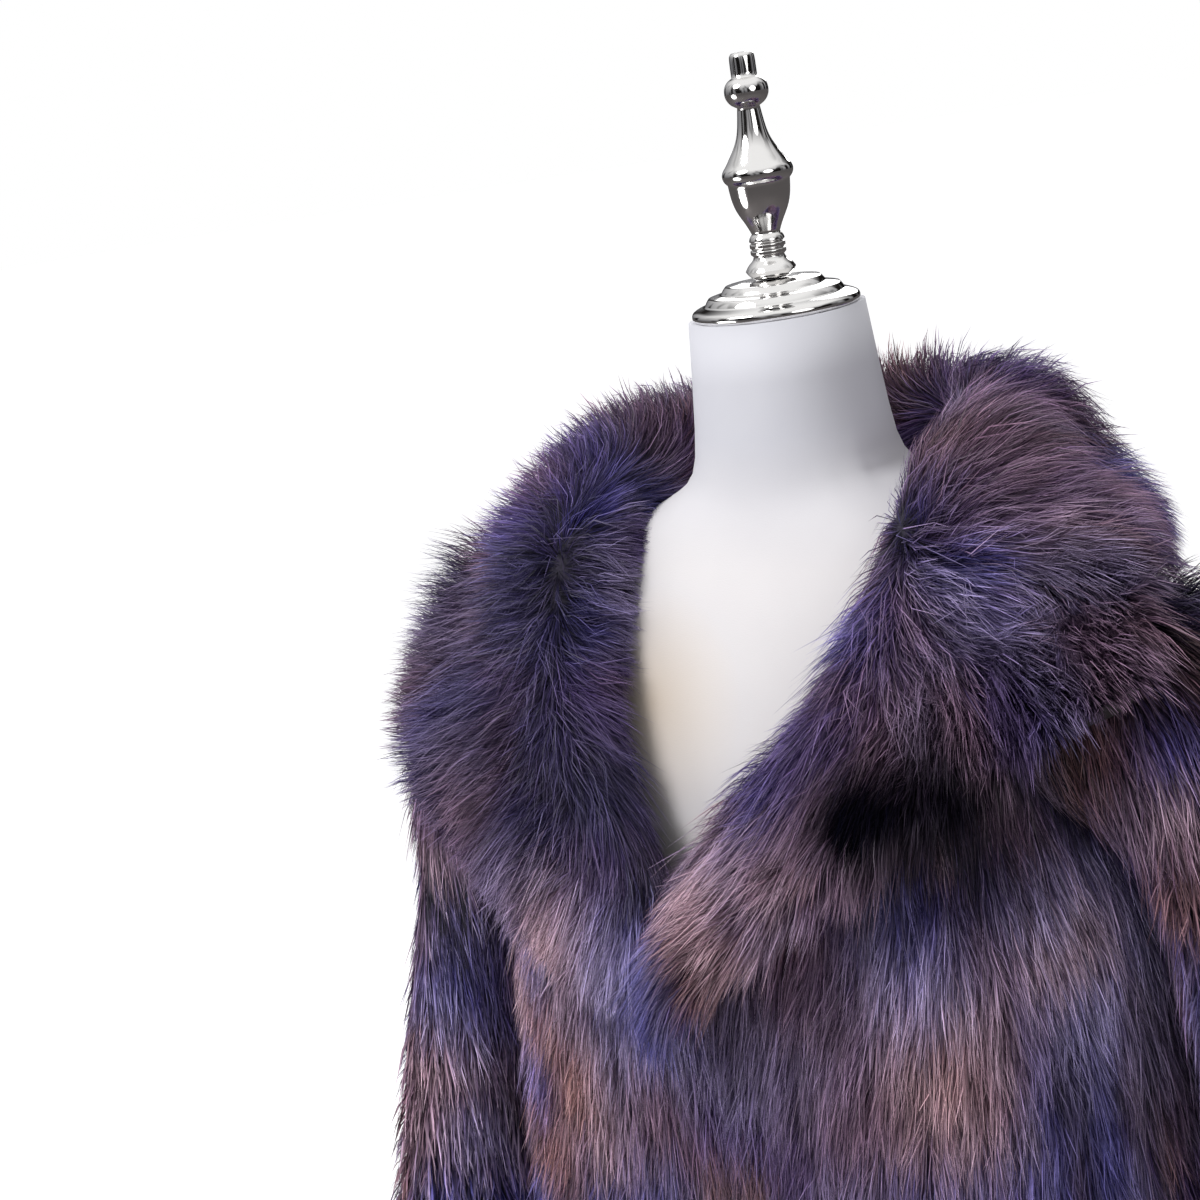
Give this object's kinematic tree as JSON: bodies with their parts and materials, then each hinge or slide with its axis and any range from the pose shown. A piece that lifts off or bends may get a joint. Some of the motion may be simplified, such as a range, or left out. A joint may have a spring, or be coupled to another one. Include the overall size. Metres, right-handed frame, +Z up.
{
  "type": "fur coat on a dress form",
  "caption": "Long-haired fur coat with a deep shawl collar and wide sleeves, worn by a limbless dress form with a turned chrome finial on a round chrome stand.",
  "frame": {"origin": "centre of the stand's foot, on the floor", "axes": "+Z up, the form faces -Y, +X is the wearer's left"},
  "size_m": [0.8554, 0.4462, 1.6784],
  "materials": {
    "fur": "long soft hair, satin",
    "form_cloth": "smooth matte stretch cloth",
    "chrome": "polished"
  },
  "bodies": {
    "root": {"coat_front_left": "fur", "coat_front_right": "fur", "coat_back": "fur", "coat_sleeve_left": "fur", "coat_sleeve_right": "fur", "coat_collar_left": "fur", "coat_collar_right": "fur", "form_torso": "form_cloth", "form_neck_cap": "chrome", "form_finial": "chrome", "form_pole": "chrome", "form_foot": "chrome"}
  },
  "joints": []
}
